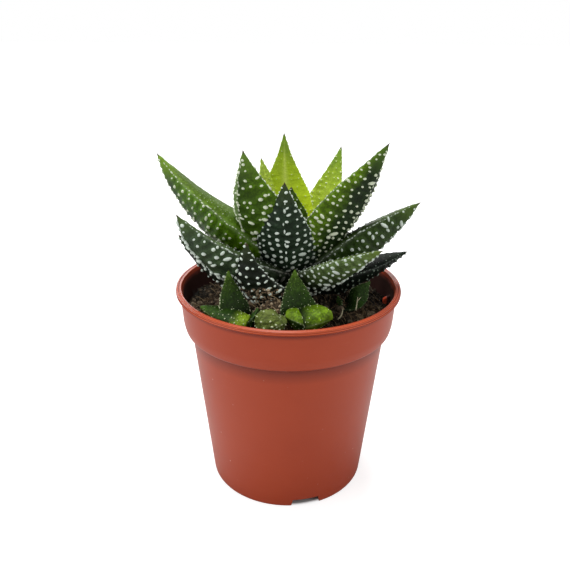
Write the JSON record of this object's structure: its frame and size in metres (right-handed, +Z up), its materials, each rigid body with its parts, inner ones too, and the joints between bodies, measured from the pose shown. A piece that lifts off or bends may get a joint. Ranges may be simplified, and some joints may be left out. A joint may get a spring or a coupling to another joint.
{
  "type": "potted haworthia",
  "caption": "Small succulent rosette of thick, pointed, white-pearled leaves with young offsets, in a round nursery pot filled with soil.",
  "frame": {"origin": "on the pot's axis, on the surface that the pot's foot ring stands on", "axes": "+Z up along the pot's axis; -Y is the front, where the offsets stand near the rim; +X is the right as seen from the front"},
  "size_m": [0.0948, 0.085, 0.1371],
  "materials": {
    "pot_plastic": "satin",
    "soil": "rough",
    "stem": "rough",
    "leaf": "satin",
    "leaf_young": "satin"
  },
  "bodies": {
    "root": {"pot": "pot_plastic", "soil": "soil", "stem": "stem", "leaf_heart_front": "leaf", "leaf_heart_back": "leaf_young", "leaf_top_back": "leaf_young", "leaf_back_right": "leaf_young", "leaf_inner_left": "leaf", "leaf_inner_right": "leaf", "leaf_front": "leaf", "leaf_left": "leaf", "leaf_back_left": "leaf", "leaf_back": "leaf", "leaf_right": "leaf", "leaf_low_left": "leaf", "leaf_far_right": "leaf", "leaf_low_right": "leaf", "leaf_low_front": "leaf", "leaf_under_left": "leaf", "leaf_under_right": "leaf", "leaf_under_back": "leaf", "leaf_under_back_left": "leaf", "offset_left": "leaf_young", "offset_right": "leaf_young", "offset_front": "leaf_young", "offset_side": "leaf_young"}
  },
  "joints": []
}
